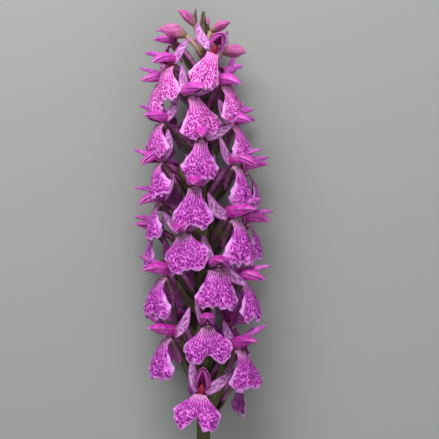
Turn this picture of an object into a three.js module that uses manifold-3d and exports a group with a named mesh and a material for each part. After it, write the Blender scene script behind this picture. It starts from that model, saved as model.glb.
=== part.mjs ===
// Marsh orchid flower spike, cut from its plant and lying on its back. Millimetres.
// +Y runs along the stem from the cut end to the tip, +Z points up, away from the resting surface.
// Each flower stands on its own ovary, which leaves the stem in the axil of a bract.
import * as THREE from 'three';
import { mergeVertices } from 'three/addons/utils/BufferGeometryUtils.js';
import Module from 'manifold-3d';

const wasm = await Module();
wasm.setup();

// Driving dimensions, in millimetres and degrees.
const STEM_LENGTH = 123;
const STEM_RADIUS = 1.7;
const STEM_TIP_RADIUS = 0.7;
const STEM_TAPER_START = 0.3;     // fraction of the stem's length that keeps its full radius
const STEM_CUT_SLANT = 0.5;       // how far the cut end leans, along the stem
const AXIS_HEIGHT = 12;           // stem axis above the level at which petals start to flatten
const CONTACT_SOFTNESS = 2;       // how gently the lower petals flatten against the surface
const GAP = 0.3;                  // clearance between neighbouring pieces

const FULL_LIP_WIDTH = 12;        // lip width of a flower of size 1 and width share 1
const LIP_LENGTH = 10.2;
const LIP_THICKNESS = 0.9;
const LIP_WIDTHS = [0.28, 0.5, 0.8, 1.0, 0.5];   // along the lip, as fractions of its half width
const LIP_ARCH = 1.3;             // how far the middle of the lip bulges forward
const LIP_REFLEX = 1.6;           // how far its sides fold back
const LIP_PITCH = 15;             // the lip's lean away from the stem

const SEPAL_LENGTH = 8;
const SEPAL_WIDTH = 2.8;
const SEPAL_THICKNESS = 0.8;
const SEPAL_WIDTHS = [0.5, 1.0, 0.2];
const SEPAL_BASE = [1.1, 1.0, -0.9];
const SEPAL_BASE_RISE = 2.6;      // how much higher the base of a sepal that leans right out is
const BACK_SEPAL = [30, 0, 20];   // pose of both sepals of a flower at the back of the spike
const NEAR_SEPAL = [30, -6, 20];  // pose of the sepal that stands beside the stem
const FAR_SEPAL = [14, 80, 60];   // pose of the sepal that spreads outwards over the hood
const BACK_FACE = 140;            // flowers that face further round than this are at the back

const HOOD_LENGTH = 8.8;
const HOOD_PROFILE = [[0, 0], [2.1, 0.08], [2.1, 0.35], [1.5, 0.7], [0, 1]];   // radius, place along it
const HOOD_BASE = [0, 1.7, -1.8];
const HOOD_RISE = 4;              // the hood's angle above straight out

const SPUR_LENGTH = 6.5;
const SPUR_PROFILE = [[0, 0], [1.1, 0.1], [0.8, 0.6], [0, 1]];
const SPUR_BASE = [0, 0.2, -0.8];
const SPUR_LEAN = 28;             // the spur's angle back from straight down

const OVARY_PROFILE = [[0, 0], [0.8, 0.06], [1.1, 0.5], [0.9, 0.94], [0, 1]];
const OVARY_DROP = 8.5;           // how far below its throat a flower leaves the stem
const OVARY_END = [0, 0.9, -1.4]; // where the ovary meets the flower, from its throat

const BUD_PROFILE = [[0, 0], [0.6, 0.12], [1.0, 0.45], [0.8, 0.8], [0, 1]];   // for a bud 2 mm thick
const BUD_STALK_SCALE = 0.8;
const BUD_STALK_OVERLAP = 1;      // how far the stalk runs into the bud

const BRACT_THICKNESS = 0.7;
const BRACT_WIDTHS = [0.6, 1.0, 0.75, 0.12];
const BRACT_ARCH = -1.2;
const BRACT_KEEL = 0.7;           // how far the edges of a bract fold up along its midrib

const FOLDED_COLUMNS = 2;         // a blade folded along its middle
const FLAT_COLUMNS = 1;
const BODY_SIDES = 6;
const STALK_SIDES = 5;
const STEM_SIDES = 12;
const STEM_RINGS = 14;
const MERGE_DISTANCE = 1e-4;

// Open flowers: name, height of the throat on the stem, angle round the stem from the front, distance
// of the throat from the stem axis, angle that the flower faces, size, lip width as a share of the
// full width, roll about the outward line, nod.
const FLOWERS = [
  ['front_1', 116.4, 16, 8.8, 6, 0.95, 0.7, -22, -5],
  ['front_2', 105.2, -16, 9.6, 28, 1.0, 0.98, 13, 0],
  ['front_3', 94.3, -3, 9.8, 0, 0.96, 0.84, -3, 0],
  ['front_4', 82.6, -12, 9.8, -4, 1.03, 0.86, -3, 0],
  ['front_5', 70.8, -29, 9.6, -18, 0.95, 1.02, 12, 0],
  ['front_6', 62.0, 23, 9.6, 6, 0.98, 0.94, -4, 0],
  ['front_7', 47.8, 6, 9.8, 2, 0.95, 1.08, 2, 0],
  ['front_8', 30.8, -4, 9.8, -2, 1.03, 0.98, -8, -16],
  ['left_1', 113.1, -62, 9.6, -45, 0.9, 0.8, 10, 0],
  ['left_2', 109.2, -84, 11.0, -64, 0.84, 0.8, 2, 0],
  ['left_3', 98.8, -68, 11.5, -47, 0.88, 0.94, 3, 0],
  ['left_4', 88.6, -68, 11.8, -52, 0.92, 0.8, 20, 0],
  ['left_5', 78.5, -80, 11.3, -66, 0.92, 0.8, 7, 0],
  ['left_6', 59.8, -66, 11.0, -52, 1.02, 0.8, -3, 0],
  ['left_7', 44.5, -60, 10.2, -52, 1.02, 0.74, -3, 0],
  ['right_1', 108.0, 40, 8.4, 45, 0.88, 0.86, 15, 0],
  ['right_2', 98.3, 58, 9.2, 52, 0.86, 0.74, 12, 0],
  ['right_3', 87.8, 60, 9.4, 56, 0.95, 0.7, 3, 0],
  ['right_4', 74.3, 56, 9.6, 48, 1.12, 0.86, 2, 0],
  ['right_5', 58.8, 68, 10.8, 58, 1.0, 0.74, 2, 0],
  ['right_6', 41.5, 62, 10.2, 48, 0.98, 0.95, 5, 0],
  ['right_7', 33.0, 98, 8.2, 118, 0.86, 0.8, 12, 0],
  ['back_left_1', 119.2, -108, 8.6, -104, 0.74, 0.8, 0, 0],
  ['back_left_2', 98.0, -122, 10.4, -126, 0.86, 0.9, 0, 0],
  ['back_left_3', 86.0, -124, 10.0, -134, 0.92, 0.95, 0, 0],
  ['back_left_4', 71.0, -100, 12.0, -82, 0.9, 0.85, 0, 0],
  ['back_left_5', 61.5, -128, 9.8, -140, 0.95, 0.95, 0, 0],
  ['back_left_6', 47.5, -138, 9.8, -140, 0.96, 0.95, 0, 0],
  ['back_right_1', 111.0, 142, 8.4, 142, 0.8, 0.8, 0, 0],
  ['back_right_2', 98.0, 122, 10.0, 122, 0.88, 0.9, 0, 0],
  ['back_right_3', 86.5, 100, 11.2, 92, 0.86, 0.85, 0, 0],
  ['back_right_4', 73.3, 96, 11.6, 82, 0.88, 0.85, 0, 0],
  ['back_right_5', 58.5, 130, 9.8, 142, 0.95, 1.0, 0, 0],
  ['back_right_6', 47.0, 134, 9.8, 136, 0.94, 0.95, 0, 0],
  ['back_1', 114.5, 168, 8.6, 168, 0.8, 0.8, 0, 0],
  ['back_2', 103.5, -166, 9.4, -166, 0.85, 0.9, 0, 0],
  ['back_3', 91.5, 176, 9.6, 176, 0.88, 0.95, 0, 0],
  ['back_4', 79.0, 164, 9.6, 164, 0.9, 0.95, 0, 0],
  ['back_5', 66.5, 178, 9.6, 178, 0.92, 0.95, 0, 0],
  ['back_6', 53.5, -172, 9.6, -172, 0.95, 1.0, 0, 0],
  ['back_7', 38.5, 172, 9.6, 172, 0.95, 1.0, 0, 0],
];

// Poses of the lateral sepals where flowers differ, left then right: lean to the side, lean outwards,
// turn about the sepal's own length.
const SEPAL_POSES = {
  front_1: [[46, -8, 10], [8, -26, 60]],
  front_2: [[-12, -20, 50], [64, 0, 20]],
  front_3: [[20, -14, 20], [62, 4, 20]],
  front_4: [[10, -22, 50], [16, -22, 50]],
  front_5: [[30, -14, 20], [24, -14, 20]],
  front_6: [[20, -14, 20], [122, -4, 20]],
  front_7: [[10, -16, 62], [12, -16, 62]],
  front_8: [[16, -14, 56], [42, -4, 10]],
  left_1: [[14, 80, 60], [40, -8, 5]],
  left_7: [[20, 66, 50], [30, -6, 20]],
  right_4: [[48, -4, 20], [14, 82, 62]],
  right_6: [[12, -6, 20], [20, 62, 50]],
};

// Buds: name, height of the axil, angle round the stem, stalk length, stalk lean, length, width, lean.
const BUDS = [
  ['left_high', 117.4, -58, 7.2, 18, 5.6, 2.5, 42],
  ['left_low', 116.4, -80, 6.8, 40, 6.2, 3.6, 64],
  ['right_high', 118.0, 70, 5.0, 20, 5.2, 2.5, 56],
  ['right_low', 111.6, 66, 7.6, 42, 5.8, 3.4, 80],
  ['back_high', 118.4, 176, 5.0, 20, 5.0, 2.6, 34],
  ['back_low', 115.6, 146, 6.0, 36, 6.0, 3.0, 62],
];

// The largest bracts: name, height of the axil, angle round the stem, length, width, lean from the stem.
const BRACTS = [
  ['lowest_right', 25.2, 50, 14.6, 7.0, 27],
  ['lowest_left', 31.5, -72, 14.5, 3.2, 28],
  ['left_long', 37.5, -84, 17.5, 3.0, 27],
  ['under_front_7', 35.5, 14, 10.5, 4.2, 14],
  ['middle_left', 53.5, -62, 12.0, 4.4, 46],
  ['middle_front', 54.5, 12, 11.0, 4.8, 14],
  ['upper_right', 66.0, 58, 13.0, 3.4, 47],
  ['upper_front', 65.5, -8, 12.0, 4.4, 12],
  ['back_low', 27.0, 180, 15, 4.0, 20],
  ['back_right_low', 30.0, 130, 15, 3.8, 28],
  ['tip', 119.6, 8, 8.2, 1.6, 5],
];

const MATERIALS = {
  petal: { color: 0xc850c0, roughness: 0.55, metalness: 0 },
  bud: { color: 0xa23a86, roughness: 0.55, metalness: 0 },
  bract: { color: 0x3c3626, roughness: 0.6, metalness: 0 },
  stem: { color: 0x4d5230, roughness: 0.6, metalness: 0 },
};

const UP_THE_STEM = new THREE.Vector3(0, 1, 0);
const OUT_OF_THE_STEM = new THREE.Vector3(0, 0, 1);
const ACROSS_THE_STEM = new THREE.Vector3(1, 0, 0);

function rotation(axis, degrees) {
  return new THREE.Matrix4().makeRotationAxis(axis, THREE.MathUtils.degToRad(degrees));
}

function translation(point) {
  return new THREE.Matrix4().makeTranslation(...point);
}

// Solid from a closed geometry, once its shared vertices are merged and its pole slivers dropped.
function toSolid(geometry) {
  const plain = geometry.clone();
  plain.deleteAttribute('normal');
  plain.deleteAttribute('uv');
  const merged = mergeVertices(plain, MERGE_DISTANCE);
  const corners = [];
  for (let i = 0; i < merged.index.count; i += 3) {
    const [a, b, c] = [0, 1, 2].map((k) => merged.index.getX(i + k));
    if (a !== b && b !== c && c !== a) corners.push(a, b, c);
  }
  return new wasm.Manifold(new wasm.Mesh({
    numProp: 3,
    vertProperties: Float32Array.from(merged.attributes.position.array),
    triVerts: Uint32Array.from(corners),
  }));
}

function join(geometries) {
  return geometries.map(toSolid).reduce((sum, solid) => sum.add(solid));
}

function toGeometry(solid) {
  const mesh = solid.getMesh();
  const geometry = new THREE.BufferGeometry();
  geometry.setAttribute('position', new THREE.BufferAttribute(mesh.vertProperties, 3));
  geometry.setIndex(new THREE.BufferAttribute(mesh.triVerts, 1));
  return geometry;
}

function moveEachVertex(geometry, place) {
  const position = geometry.attributes.position;
  const point = new THREE.Vector3();
  for (let i = 0; i < position.count; i += 1) {
    point.fromBufferAttribute(position, i);
    place(point);
    position.setXYZ(i, point.x, point.y, point.z);
  }
  return geometry;
}

// A blade growing along +Y from the origin and facing +Z: a lip, a sepal or a bract.
function blade({ length, width, thickness, widths, arch = 0, fold = 0, columns = FLAT_COLUMNS }, grow) {
  const rows = widths.length - 1;
  const geometry = new THREE.BoxGeometry(2, 1, 1, columns, rows, 1);
  return moveEachVertex(geometry, (point) => {
    const along = point.y + 0.5;
    const across = point.x;
    const side = 2 * point.z;
    const x = across * (widths[Math.round(along * rows)] * width / 2 + grow);
    const middle = arch * Math.sin(Math.PI * along) + fold * (2 * x / width) ** 2;
    point.set(
      x,
      along * (length + 2 * grow) - grow,
      middle + side * (thickness / 2 + grow),
    );
  });
}

// A round body along +Y from the origin: a hood, a spur, an ovary or a bud.
function roundBody({ length, profile, sides, scale = 1 }, grow) {
  const points = profile.map(([radius, along]) => new THREE.Vector2(
    radius === 0 ? 0 : radius * scale + grow,
    along * (length + 2 * grow) - grow,
  ));
  return new THREE.LatheGeometry(points, sides);
}

// Bends a round body that stands on +Y so that it follows a curve.
function followCurve(geometry, curve, length) {
  return moveEachVertex(geometry, (point) => {
    const along = point.y / length;
    const inside = THREE.MathUtils.clamp(along, 0, 1);
    const tangent = curve.getTangentAt(inside);
    const centre = curve.getPointAt(inside).addScaledVector(tangent, (along - inside) * length);
    const turn = new THREE.Quaternion().setFromUnitVectors(UP_THE_STEM, tangent);
    const offset = new THREE.Vector3(point.x, 0, point.z).applyQuaternion(turn);
    point.copy(centre).add(offset);
  });
}

function stemRadius(along) {
  const taper = THREE.MathUtils.smoothstep(along, STEM_TAPER_START, 1);
  return THREE.MathUtils.lerp(STEM_RADIUS, STEM_TIP_RADIUS, taper);
}

// The stem, with a flat, slightly slanted cut below and a rounded tip.
function stemSolid(grow) {
  const points = [new THREE.Vector2(0, -grow)];
  for (let ring = 0; ring <= STEM_RINGS; ring += 1) {
    const along = ring / STEM_RINGS;
    const height = ring === 0 ? -grow : along * STEM_LENGTH;
    points.push(new THREE.Vector2(stemRadius(along) + grow, height));
  }
  points.push(new THREE.Vector2(0, STEM_LENGTH + STEM_TIP_RADIUS + grow));
  const geometry = new THREE.LatheGeometry(points, STEM_SIDES);
  moveEachVertex(geometry, (point) => {
    if (point.y <= 0) point.y += STEM_CUT_SLANT * point.z / STEM_RADIUS;
  });
  geometry.translate(0, 0, AXIS_HEIGHT);
  return toSolid(geometry);
}

// The point at a height on the stem, an angle round it and a distance from its axis.
function besideStem(height, angle, reach) {
  const radians = THREE.MathUtils.degToRad(angle);
  return new THREE.Vector3(
    reach * Math.sin(radians),
    height,
    AXIS_HEIGHT + reach * Math.cos(radians),
  );
}

function ovary(start, end, profile, scale, grow) {
  const rise = (end.y - start.y) / 2;
  const curve = new THREE.QuadraticBezierCurve3(
    start,
    new THREE.Vector3().lerpVectors(start, end, 0.5).addScaledVector(UP_THE_STEM, rise / 2),
    end,
  );
  const length = curve.getLength();
  const body = roundBody({ length, profile, sides: STALK_SIDES, scale }, grow);
  return followCurve(body, curve, length);
}

function lip(share, grow) {
  const shape = {
    length: LIP_LENGTH,
    width: FULL_LIP_WIDTH * share,
    thickness: LIP_THICKNESS,
    widths: LIP_WIDTHS,
    arch: LIP_ARCH,
    fold: -LIP_REFLEX,
    columns: FOLDED_COLUMNS,
  };
  return blade(shape, grow)
    .applyMatrix4(rotation(OUT_OF_THE_STEM, 180))
    .applyMatrix4(rotation(ACROSS_THE_STEM, -LIP_PITCH));
}

// The poses of a flower's left and right lateral sepal.
function sepalPoses(name, face) {
  if (name in SEPAL_POSES) return SEPAL_POSES[name];
  if (Math.abs(face) > BACK_FACE) return [BACK_SEPAL, BACK_SEPAL];
  return face > 0 ? [NEAR_SEPAL, FAR_SEPAL] : [FAR_SEPAL, NEAR_SEPAL];
}

function lateralSepal(side, [spread, forward, ownTurn], grow) {
  const shape = {
    length: SEPAL_LENGTH,
    width: SEPAL_WIDTH,
    thickness: SEPAL_THICKNESS,
    widths: SEPAL_WIDTHS,
  };
  const [x, y, z] = SEPAL_BASE;
  const rise = SEPAL_BASE_RISE * Math.max(0, Math.sin(THREE.MathUtils.degToRad(forward)));
  return blade(shape, grow)
    .applyMatrix4(rotation(UP_THE_STEM, side * ownTurn))
    .applyMatrix4(rotation(OUT_OF_THE_STEM, -side * spread))
    .applyMatrix4(rotation(ACROSS_THE_STEM, forward))
    .applyMatrix4(translation([side * x, y + rise, z]));
}

function hood(grow) {
  const shape = { length: HOOD_LENGTH, profile: HOOD_PROFILE, sides: BODY_SIDES };
  return roundBody(shape, grow)
    .applyMatrix4(rotation(ACROSS_THE_STEM, 90 - HOOD_RISE))
    .applyMatrix4(translation(HOOD_BASE));
}

function spur(grow) {
  const shape = { length: SPUR_LENGTH, profile: SPUR_PROFILE, sides: STALK_SIDES };
  return roundBody(shape, grow)
    .applyMatrix4(rotation(ACROSS_THE_STEM, 180 + SPUR_LEAN))
    .applyMatrix4(translation(SPUR_BASE));
}

function flowerSolid([name, height, angle, reach, face, size, share, roll, nod], grow) {
  const throat = besideStem(height, angle, reach);
  const place = new THREE.Matrix4()
    .makeTranslation(throat)
    .multiply(rotation(UP_THE_STEM, face))
    .multiply(rotation(ACROSS_THE_STEM, nod))
    .multiply(rotation(OUT_OF_THE_STEM, roll))
    .multiply(new THREE.Matrix4().makeScale(size, size, size));
  const inner = grow / size;
  const [left, right] = sepalPoses(name, face);
  const organs = [
    lip(share, inner),
    hood(inner),
    spur(inner),
    lateralSepal(-1, left, inner),
    lateralSepal(1, right, inner),
  ];
  const axil = besideStem(height - OVARY_DROP, angle, stemRadius(height / STEM_LENGTH));
  const ovaryEnd = new THREE.Vector3(...OVARY_END).applyMatrix4(place);
  return join([
    ovary(axil, ovaryEnd, OVARY_PROFILE, size, grow),
    ...organs.map((organ) => organ.applyMatrix4(place)),
  ]);
}

// A direction that leans away from the stem at an angle round it.
function leaning(lean, angle) {
  return UP_THE_STEM.clone()
    .applyMatrix4(rotation(ACROSS_THE_STEM, lean))
    .applyMatrix4(rotation(UP_THE_STEM, angle));
}

function budSolid([, height, angle, stalkLength, stalkLean, length, width, lean], grow) {
  const axil = besideStem(height, angle, stemRadius(height / STEM_LENGTH));
  const neck = axil.clone().addScaledVector(leaning(stalkLean, angle), stalkLength);
  const away = leaning(lean, angle);
  const tip = neck.clone().addScaledVector(away, length);
  const shape = { length, profile: BUD_PROFILE, sides: BODY_SIDES, scale: width / 2 };
  const stalkEnd = neck.clone().addScaledVector(away, BUD_STALK_OVERLAP);
  return join([
    ovary(axil, stalkEnd, OVARY_PROFILE, BUD_STALK_SCALE, grow),
    followCurve(roundBody(shape, grow), new THREE.LineCurve3(neck, tip), length),
  ]);
}

function bractSolid([, height, angle, length, width, lean], grow) {
  const axil = besideStem(height, angle, stemRadius(height / STEM_LENGTH) + GAP);
  const shape = {
    length,
    width,
    thickness: BRACT_THICKNESS,
    widths: BRACT_WIDTHS,
    arch: BRACT_ARCH,
    fold: BRACT_KEEL,
    columns: FOLDED_COLUMNS,
  };
  const geometry = blade(shape, grow)
    .applyMatrix4(rotation(UP_THE_STEM, 180))
    .applyMatrix4(rotation(ACROSS_THE_STEM, lean))
    .applyMatrix4(rotation(UP_THE_STEM, angle))
    .applyMatrix4(translation(axil.toArray()));
  return toSolid(geometry);
}

// Petals that would reach below the surface lie down on it, and nothing passes through anything else.
function settle(z) {
  return (z + Math.hypot(z, 2 * CONTACT_SOFTNESS)) / 2;
}

const pieces = [
  { name: 'stem', material: 'stem', build: stemSolid },
  ...FLOWERS.map((row) => ({
    name: `flower_${row[0]}`,
    material: 'petal',
    build: (grow) => flowerSolid(row, grow),
  })),
  ...BUDS.map((row) => ({
    name: `bud_${row[0]}`,
    material: 'bud',
    build: (grow) => budSolid(row, grow),
  })),
  ...BRACTS.map((row) => ({
    name: `bract_${row[0]}`,
    material: 'bract',
    build: (grow) => bractSolid(row, grow),
  })),
];

function boxesMeet(a, b) {
  return [0, 1, 2].every((axis) => a.min[axis] <= b.max[axis] && b.min[axis] <= a.max[axis]);
}

// Each piece gives way to the pieces before it, by the gap, and stays one body.
function cutToFit(piece, earlier) {
  let solid = piece.build(0);
  for (const other of earlier) {
    if (boxesMeet(solid.boundingBox(), other.shell.boundingBox())) {
      solid = solid.subtract(other.shell);
    }
  }
  return solid.decompose().reduce((best, body) => (body.volume() > best.volume() ? body : best));
}

const spike = new THREE.Group();
const placed = [];
for (const piece of pieces) {
  const solid = cutToFit(piece, placed);
  placed.push({ shell: piece.build(GAP) });
  const geometry = moveEachVertex(toGeometry(solid), (point) => {
    point.z = settle(point.z);
  });
  geometry.computeVertexNormals();
  geometry.computeBoundingBox();
  const middle = geometry.boundingBox.getCenter(new THREE.Vector3());
  geometry.translate(-middle.x, -middle.y, -middle.z);
  const mesh = new THREE.Mesh(geometry, new THREE.MeshStandardMaterial(MATERIALS[piece.material]));
  mesh.name = piece.name;
  mesh.position.copy(middle);
  spike.add(mesh);
}

// The origin is the centre of the bottom of the whole spike's box.
const box = new THREE.Box3().setFromObject(spike, true);
const centre = box.getCenter(new THREE.Vector3());
spike.position.set(-centre.x, -centre.y, -box.min.z);

export default spike;
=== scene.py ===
"""Looks of the marsh orchid flower spike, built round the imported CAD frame.

Sizes are in millimetres and degrees, and turn into metres only where a mesh is made. In a flower's own
space X is to its side, Y runs up the stem and Z points out of the stem, with the throat at the origin.
"""
import math
import random

import bpy
import numpy as np
from mathutils import Matrix, Vector


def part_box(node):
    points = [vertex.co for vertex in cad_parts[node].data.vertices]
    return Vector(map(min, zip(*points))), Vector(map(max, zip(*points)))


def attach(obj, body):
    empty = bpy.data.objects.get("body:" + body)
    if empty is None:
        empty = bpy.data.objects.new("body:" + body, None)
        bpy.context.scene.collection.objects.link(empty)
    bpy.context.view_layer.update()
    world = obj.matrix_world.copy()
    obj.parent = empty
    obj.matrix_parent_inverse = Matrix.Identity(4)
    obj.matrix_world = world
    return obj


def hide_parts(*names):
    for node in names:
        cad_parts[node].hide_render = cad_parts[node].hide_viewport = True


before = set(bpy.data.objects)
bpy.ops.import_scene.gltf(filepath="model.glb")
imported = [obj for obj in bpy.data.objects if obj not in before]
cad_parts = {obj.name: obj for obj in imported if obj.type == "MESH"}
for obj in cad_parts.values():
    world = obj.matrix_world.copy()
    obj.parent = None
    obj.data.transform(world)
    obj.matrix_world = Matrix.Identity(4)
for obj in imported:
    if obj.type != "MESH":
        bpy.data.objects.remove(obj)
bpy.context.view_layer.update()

# The build of the spike, as in the CAD model.
STEM_LENGTH = 123
STEM_RADIUS = 1.7
STEM_TIP_RADIUS = 0.7
STEM_TAPER_START = 0.3
STEM_CUT_SLANT = 0.5
AXIS_HEIGHT = 12
CONTACT_SOFTNESS = 2
OVARY_DROP = 8.5

# Open flowers: height of the throat on the stem, angle round the stem from the front, distance of the
# throat from the stem axis, angle that the flower faces, size, lip width as a share, roll, nod.
FLOWERS = {
    "front_1": (116.4, 16, 8.8, 6, 0.95, 0.7, -22, -5),
    "front_2": (105.2, -16, 9.6, 28, 1.0, 0.98, 13, 0),
    "front_3": (94.3, -3, 9.8, 0, 0.96, 0.84, -3, 0),
    "front_4": (82.6, -12, 9.8, -4, 1.03, 0.86, -3, 0),
    "front_5": (70.8, -29, 9.6, -18, 0.95, 1.02, 12, 0),
    "front_6": (62.0, 23, 9.6, 6, 0.98, 0.94, -4, 0),
    "front_7": (47.8, 6, 9.8, 2, 0.95, 1.08, 2, 0),
    "front_8": (30.8, -4, 9.8, -2, 1.03, 0.98, -8, -16),
    "left_1": (113.1, -62, 9.6, -45, 0.9, 0.8, 10, 0),
    "left_2": (109.2, -84, 11.0, -64, 0.84, 0.8, 2, 0),
    "left_3": (98.8, -68, 11.5, -47, 0.88, 0.94, 3, 0),
    "left_4": (88.6, -68, 11.8, -52, 0.92, 0.8, 20, 0),
    "left_5": (78.5, -80, 11.3, -66, 0.92, 0.8, 7, 0),
    "left_6": (59.8, -66, 11.0, -52, 1.02, 0.8, -3, 0),
    "left_7": (44.5, -60, 10.2, -52, 1.02, 0.74, -3, 0),
    "right_1": (108.0, 40, 8.4, 45, 0.88, 0.86, 15, 0),
    "right_2": (98.3, 58, 9.2, 52, 0.86, 0.74, 12, 0),
    "right_3": (87.8, 60, 9.4, 56, 0.95, 0.7, 3, 0),
    "right_4": (74.3, 56, 9.6, 48, 1.12, 0.86, 2, 0),
    "right_5": (58.8, 68, 10.8, 58, 1.0, 0.74, 2, 0),
    "right_6": (41.5, 62, 10.2, 48, 0.98, 0.95, 5, 0),
    "right_7": (33.0, 98, 8.2, 118, 0.86, 0.8, 12, 0),
    "back_left_1": (119.2, -108, 8.6, -104, 0.74, 0.8, 0, 0),
    "back_left_2": (98.0, -122, 10.4, -126, 0.86, 0.9, 0, 0),
    "back_left_3": (86.0, -124, 10.0, -134, 0.92, 0.95, 0, 0),
    "back_left_4": (71.0, -100, 12.0, -82, 0.9, 0.85, 0, 0),
    "back_left_5": (61.5, -128, 9.8, -140, 0.95, 0.95, 0, 0),
    "back_left_6": (47.5, -138, 9.8, -140, 0.96, 0.95, 0, 0),
    "back_right_1": (111.0, 142, 8.4, 142, 0.8, 0.8, 0, 0),
    "back_right_2": (98.0, 122, 10.0, 122, 0.88, 0.9, 0, 0),
    "back_right_3": (86.5, 100, 11.2, 92, 0.86, 0.85, 0, 0),
    "back_right_4": (73.3, 96, 11.6, 82, 0.88, 0.85, 0, 0),
    "back_right_5": (58.5, 130, 9.8, 142, 0.95, 1.0, 0, 0),
    "back_right_6": (47.0, 134, 9.8, 136, 0.94, 0.95, 0, 0),
    "back_1": (114.5, 168, 8.6, 168, 0.8, 0.8, 0, 0),
    "back_2": (103.5, -166, 9.4, -166, 0.85, 0.9, 0, 0),
    "back_3": (91.5, 176, 9.6, 176, 0.88, 0.95, 0, 0),
    "back_4": (79.0, 164, 9.6, 164, 0.9, 0.95, 0, 0),
    "back_5": (66.5, 178, 9.6, 178, 0.92, 0.95, 0, 0),
    "back_6": (53.5, -172, 9.6, -172, 0.95, 1.0, 0, 0),
    "back_7": (38.5, 172, 9.6, 172, 0.95, 1.0, 0, 0),
}

# Lateral sepals, left then right, of the flowers where they show best: lean to the side, lean
# outwards, turn about the sepal's own length.
SEPALS = {
    "front_1": ((46, -8, 10), (8, -26, 60)),
    "front_2": ((-12, -20, 50), (64, 0, 20)),
    "front_3": ((20, -14, 20), (62, 4, 20)),
    "front_4": ((10, -22, 50), (16, -22, 50)),
    "front_5": ((30, -14, 20), (24, -14, 20)),
    "front_6": ((20, -14, 20), (122, -4, 20)),
    "front_7": ((10, -16, 62), (12, -16, 62)),
    "front_8": ((16, -14, 56), (42, -4, 10)),
    "left_1": ((14, 80, 60), (40, -8, 5)),
    "left_7": ((20, 66, 50), (30, -6, 20)),
    "right_4": ((48, -4, 20), (14, 82, 62)),
    "right_6": ((12, -6, 20), (20, 62, 50)),
}
NEAR_SEPAL = (30, -6, 20)
FAR_SEPAL = (14, 80, 60)
BACK_SEPAL = (30, 0, 20)
BACK_FACE = 140

# How far the tip of the hood bends down, where it shows best.
HOOD_DROOPS = {
    "left_1": 2.4, "left_2": 2.8, "left_3": 1.0, "left_4": 3.6, "left_5": 3.6, "left_6": 1.4,
    "left_7": 0.6, "right_1": 2.8, "right_2": 2.4, "right_3": 2.8, "right_4": 0.8, "right_5": 2.8,
    "right_6": 0.8,
}

# How far the hood's shells stand apart, and by how many degrees it is raised, where it shows best.
OPEN_HOODS = {"front_1": 0.0, "front_2": 0.12, "front_4": 0.06, "front_6": 0.2, "front_8": 0.0}
RAISED_HOODS = {"front_1": 18, "front_8": 30}

# Flowers whose column and mouth show crimson.
RED_THROATS = ("front_1", "front_8", "left_1")

# Lips that differ from the common outline: depth of the notch, round lobes, width of the claw.
DEEP_NOTCHES = {"front_8": 0.36, "front_7": 0.26}
ROUND_LOBES = ("front_5", "front_7", "front_8")
WIDE_CLAWS = {"front_6": 0.46, "front_5": 0.36, "left_1": 0.36}

# Buds: height of the axil, angle round the stem, stalk length, stalk lean, bud length, bud width,
# bud lean.
BUDS = {
    "left_high": (117.4, -58, 7.2, 18, 5.6, 2.5, 42),
    "left_low": (116.4, -80, 6.8, 40, 6.2, 3.6, 64),
    "right_high": (118.0, 70, 5.0, 20, 5.2, 2.5, 56),
    "right_low": (111.6, 66, 7.6, 42, 5.8, 3.4, 80),
    "back_high": (118.4, 176, 5.0, 20, 5.0, 2.6, 34),
    "back_low": (115.6, 146, 6.0, 36, 6.0, 3.0, 62),
}

# The largest bracts: height of the axil, angle round the stem, length, width, lean from the stem.
BRACTS = {
    "lowest_right": (25.2, 50, 14.6, 7.0, 27),
    "lowest_left": (31.5, -72, 14.5, 3.2, 28),
    "left_long": (37.5, -84, 17.5, 3.0, 27),
    "under_front_7": (35.5, 14, 10.5, 4.2, 14),
    "middle_left": (53.5, -62, 12.0, 4.4, 46),
    "middle_front": (54.5, 12, 11.0, 4.8, 14),
    "upper_right": (66.0, 58, 13.0, 3.4, 47),
    "upper_front": (65.5, -8, 12.0, 4.4, 12),
    "back_low": (27.0, 180, 15, 4.0, 20),
    "back_right_low": (30.0, 130, 15, 3.8, 28),
    "tip": (119.6, 8, 8.2, 1.6, 5),
}

# Slender bracts that stand up between the buds, given as the largest ones are.
TIP_BRACTS = ((119.0, -75, 9.2, 1.5, 18), (119.4, -30, 8.2, 1.2, 7), (118.6, 80, 5.6, 1.3, 22))

MM = 0.001
SEED = 7

# Each kind of piece draws its own random numbers, and starts at its own place in the noise.
FLOWER_DRAWS, LARGE_BRACT_DRAWS, FLOWER_BRACT_DRAWS, TIP_BRACT_DRAWS = 1000, 2000, 3000, 4000
BUD_PATTERNS, LARGE_BRACT_PATTERNS, FLOWER_BRACT_PATTERNS, TIP_BRACT_PATTERNS = 200, 300, 400, 500
PATTERN_STEP = 3.7


def colour(code):
    """Linear colour from an sRGB code such as "C850C0"."""
    shares = [int(code[i:i + 2], 16) / 255 for i in (0, 2, 4)]
    linear = [c / 12.92 if c <= 0.04045 else ((c + 0.055) / 1.055) ** 2.4 for c in shares]
    return (*linear, 1.0)


def smooth(x, low=0.0, high=1.0):
    """0 below low, 1 above high, and an even curve between them."""
    t = np.clip((np.asarray(x, float) - low) / (high - low), 0, 1)
    return t * t * (3 - 2 * t)


def draws(kind, index):
    """The random numbers of one piece, which are the same in each run."""
    return random.Random(SEED * kind + index)


# ---------------------------------------------------------------- places

stem_low, stem_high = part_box("stem")
STEM_X = (stem_low.x + stem_high.x) / 2 / MM
CUT_Y = stem_low.y / MM + STEM_CUT_SLANT
SETTLED_AXIS_Z = (stem_low.z + stem_high.z) / 2 / MM


def settle(z):
    """Height of a point once the petals below it lie on the surface."""
    return (z + np.hypot(z, 2 * CONTACT_SOFTNESS)) / 2


SURFACE_Z = settle(AXIS_HEIGHT) - SETTLED_AXIS_Z


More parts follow.
